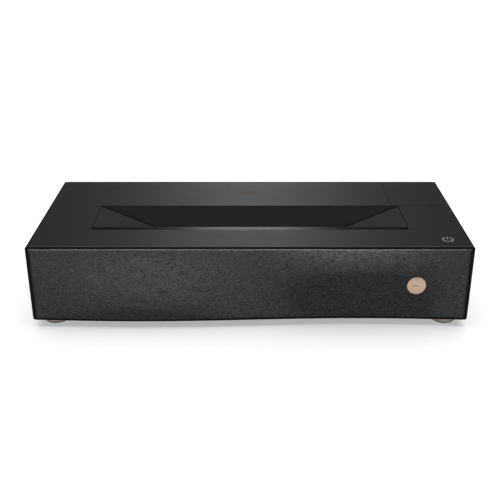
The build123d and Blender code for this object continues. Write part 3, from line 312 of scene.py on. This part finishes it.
def badge_cutter():
    """Cylinder through the cloth, a hair wider than the badge."""
    centre = (badge_low + badge_high) / 2
    radius = (badge_high.x - badge_low.x) / 2 + BADGE_GAP
    shape = bmesh.new()
    bmesh.ops.create_cone(shape, cap_ends=True, segments=96, radius1=radius, radius2=radius,
                          depth=CUTTER_DEPTH)
    bmesh.ops.rotate(shape, verts=shape.verts, matrix=Matrix.Rotation(math.radians(90), 3, "X"))
    bmesh.ops.translate(shape, verts=shape.verts, vec=(centre.x, FRONT, centre.z))
    mesh = bpy.data.meshes.new("badge_cutter")
    shape.to_mesh(mesh)
    shape.free()
    cutter = bpy.data.objects.new("badge_cutter", mesh)
    bpy.context.scene.collection.objects.link(cutter)
    return cutter


def cloth_front():
    """Thin sheet over the frame, turned in at its top and bottom edges and cut round the badge."""
    verts, faces = [], []
    for j in range(ROWS + 1):
        w = j / ROWS
        z = FABRIC_TOP + (FABRIC_BOTTOM - FABRIC_TOP) * w
        from_edge = min(FABRIC_TOP - z, z - FABRIC_BOTTOM)
        turn = FOLD * (1 - smooth(0, FOLD * FOLD_REACH, from_edge))
        for i in range(COLUMNS + 1):
            u = -1 + 2 * i / COLUMNS
            verts.append((u * FABRIC_HALF, FRONT + FABRIC_SET_BACK - wave(u, w) + turn, z))
    for j in range(ROWS):
        for i in range(COLUMNS):
            a = j * (COLUMNS + 1) + i
            faces.append((a, a + 1, a + COLUMNS + 2, a + COLUMNS + 1))
    mesh = bpy.data.meshes.new("cloth_front")
    mesh.from_pydata(verts, [], faces)
    piece = bpy.data.objects.new("cloth_front", mesh)
    bpy.context.scene.collection.objects.link(piece)
    thick = piece.modifiers.new("thickness", "SOLIDIFY")
    thick.thickness = CLOTH_T
    thick.offset = 1.0
    cutter = badge_cutter()
    hole = piece.modifiers.new("badge_hole", "BOOLEAN")
    hole.operation = "DIFFERENCE"
    hole.object = cutter
    hole.solver = "EXACT"
    piece.data = bpy.data.meshes.new_from_object(
        piece.evaluated_get(bpy.context.evaluated_depsgraph_get()))
    piece.modifiers.clear()
    bpy.data.objects.remove(cutter)
    for polygon in piece.data.polygons:
        polygon.use_smooth = True
    piece.data.materials.clear()
    piece.data.materials.append(cloth_finish)
    return piece


cloth = cloth_front()
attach(cloth, "housing")
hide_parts("grille_fabric")

# ------------------------------------------------------------------ stage

scene = bpy.context.scene
ROOM_LIGHT = 0.10                     # strength of the room's light on the object
FLOOR_REACH = 12.0


def floor():
    mesh = bpy.data.meshes.new("floor")
    far = FLOOR_REACH
    mesh.from_pydata([(-far, -far, 0), (far, -far, 0), (far, far, 0), (-far, far, 0)],
                     [], [(0, 1, 2, 3)])
    made = bpy.data.objects.new("floor", mesh)
    scene.collection.objects.link(made)
    mat, _, shader = new_material("pale_floor")
    shader.inputs["Roughness"].default_value = 0.9
    shader.inputs["Specular IOR Level"].default_value = 0.1
    shader.inputs["Base Color"].default_value = (0.9, 0.9, 0.9, 1)
    mesh.materials.append(mat)
    return made


ground = floor()
scene.view_settings.view_transform = "Standard"
world = bpy.data.worlds.new("studio")
world.use_nodes = True
background = world.node_tree.nodes["Background"]
background.inputs["Color"].default_value = (1, 1, 1, 1)
# the room is dim, but behind the floor's far edge it is as white as the floor
seen = node(world.node_tree, "ShaderNodeLightPath")
world.node_tree.links.new(
    remap(world.node_tree, seen.outputs["Is Camera Ray"], (0.0, 1.0), (ROOM_LIGHT, 1.0)),
    background.inputs["Strength"])
scene.world = world


# ------------------------------------------------------------------ light

def group(name, members):
    made = bpy.data.collections.new(name)
    for member in members:
        made.objects.link(member)
    return made


def area_light(name, where, target, size, power, only):
    """Soft rectangular lamp that lights one group of objects."""
    light = bpy.data.lights.new(name, "AREA")
    light.shape = "RECTANGLE"
    light.size, light.size_y = size
    light.energy = power
    made = bpy.data.objects.new(name, light)
    scene.collection.objects.link(made)
    made.location = where
    made.rotation_euler = (Vector(target) - Vector(where)).to_track_quat("-Z", "Y").to_euler()
    made.visible_camera = False
    made.light_linking.receiver_collection = only
    return made


def sky_light(name, energy, spread_angle, tilt, only, shadows=True):
    """Broad sun; without shadows it stands for light that the studio throws under the case."""
    sun = bpy.data.lights.new(name, "SUN")
    sun.energy = energy
    sun.angle = math.radians(spread_angle)
    made = bpy.data.objects.new(name, sun)
    scene.collection.objects.link(made)
    made.rotation_euler = (math.radians(tilt), 0, 0)
    made.light_linking.receiver_collection = only
    if not shadows:
        made.light_linking.blocker_collection = only
    return made


MIDDLE = (0, 0, 0.1)                  # a point inside the case that lamps are aimed at
CLOTH_MIDDLE = (0, FRONT, 0.06)
recess_names = ("recess_tub", "projection_window", "window_gasket")
bright_names = ("rear_mark", "touch_mark", "grille_badge")
wing_names = ("recess_wing_left", "recess_wing_right")
lid_names = ("top_cover", "dongle_cover") + wing_names
inside_names = recess_names + bright_names + wing_names

ground_only = group("ground_only", [ground])
outside = group("outside", [o for name, o in nodes.items() if name not in inside_names])
cloth_only = group("cloth_only", [cloth])
lid = group("lid", [nodes[name] for name in lid_names])
wings = group("wings", [nodes[name] for name in wing_names])
whole = group("object", list(nodes.values()) + [cloth])

sky_light("high_sun", energy=2.3, spread_angle=90, tilt=-19, only=ground_only)
sky_light("floor_fill", energy=1.7, spread_angle=60, tilt=0, only=ground_only, shadows=False)
area_light("rear_strip", where=(0, 3.2, 1.8), target=MIDDLE, size=(0.62, 2.2), power=9.0,
           only=outside)
area_light("top_grazing", where=(0, FRONT - 0.0415, TOP + 0.55), target=CLOTH_MIDDLE,
           size=(0.35, 0.03), power=23.5, only=cloth_only)
area_light("cloth_fill", where=(0, FRONT - 2.0, 0.9), target=CLOTH_MIDDLE, size=(2.0, 1.0),
           power=15, only=cloth_only)
area_light("edge_light", where=(0, FRONT - 0.62, TOP + 1.37), target=(0, FRONT, TOP),
           size=(2.0, 0.5), power=9, only=lid)
area_light("wing_fill", where=(0, 1.6, 2.4), target=MIDDLE, size=(1.6, 1.6), power=8, only=wings)
area_light("object_fill", where=(0, -0.6, 2.2), target=MIDDLE, size=(2.0, 2.0), power=17,
           only=whole)

# ------------------------------------------------------------------ camera

LENS = 58.68
SENSOR = 36.0
LOOK_DOWN = 24.45                     # degrees below the horizontal
CAMERA_BACK = 1.646                   # in front of the case and above its top, in widths
CAMERA_UP = 0.7434

camera_data = bpy.data.cameras.new("camera")
camera_data.lens = LENS
camera_data.sensor_width = SENSOR
camera = bpy.data.objects.new("camera", camera_data)
scene.collection.objects.link(camera)
camera.location = (0, FRONT - CAMERA_BACK * WIDTH, TOP + CAMERA_UP * WIDTH)
camera.rotation_euler = (math.radians(90 - LOOK_DOWN), 0, 0)
scene.camera = camera
